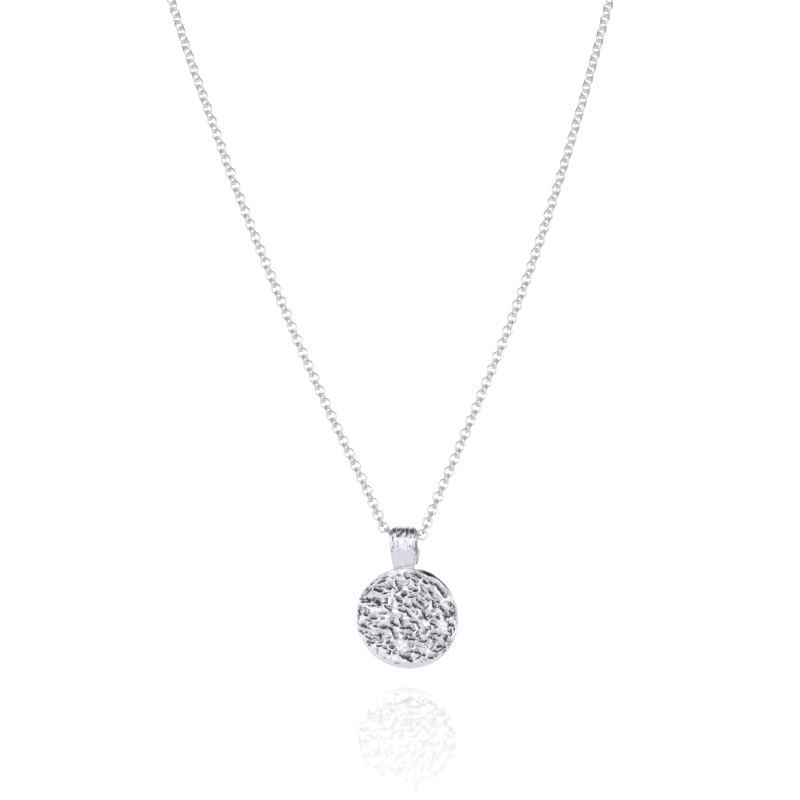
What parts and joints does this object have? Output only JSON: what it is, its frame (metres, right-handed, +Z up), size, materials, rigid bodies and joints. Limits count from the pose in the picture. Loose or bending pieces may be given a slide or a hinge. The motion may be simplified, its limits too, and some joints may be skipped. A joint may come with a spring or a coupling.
{
  "type": "charm necklace",
  "caption": "Silver rolo chain necklace with a round cast disc pendant, cratered in relief, hung on a folded strip bail, closed by a bolt ring at the nape.",
  "frame": {"origin": "nape of the wearer's neck, where the back of the chain rests", "axes": "+Z up, the wearer faces -Y, and +X is to the right as one looks at the necklace from the front"},
  "size_m": [0.1002, 0.0936, 0.1705],
  "materials": {
    "cast_silver": "bright cast silver, darker in the craters",
    "chain_silver": "polished silver",
    "clasp_silver": "polished silver"
  },
  "bodies": {
    "chain": {"chain_left": "chain_silver", "chain_right": "chain_silver", "chain_back_left": "chain_silver", "chain_back_right": "chain_silver", "clasp": "clasp_silver", "end_ring": "clasp_silver"},
    "pendant": {"pendant": "cast_silver"}
  },
  "joints": [
    {"name": "pendant_swing", "type": "hinge", "parent": "chain", "child": "pendant", "pos_m": [0.0006, -0.088, -0.144], "axis": [0.9903, -0.1392, 0], "range_deg": [-90, 90]}
  ]
}
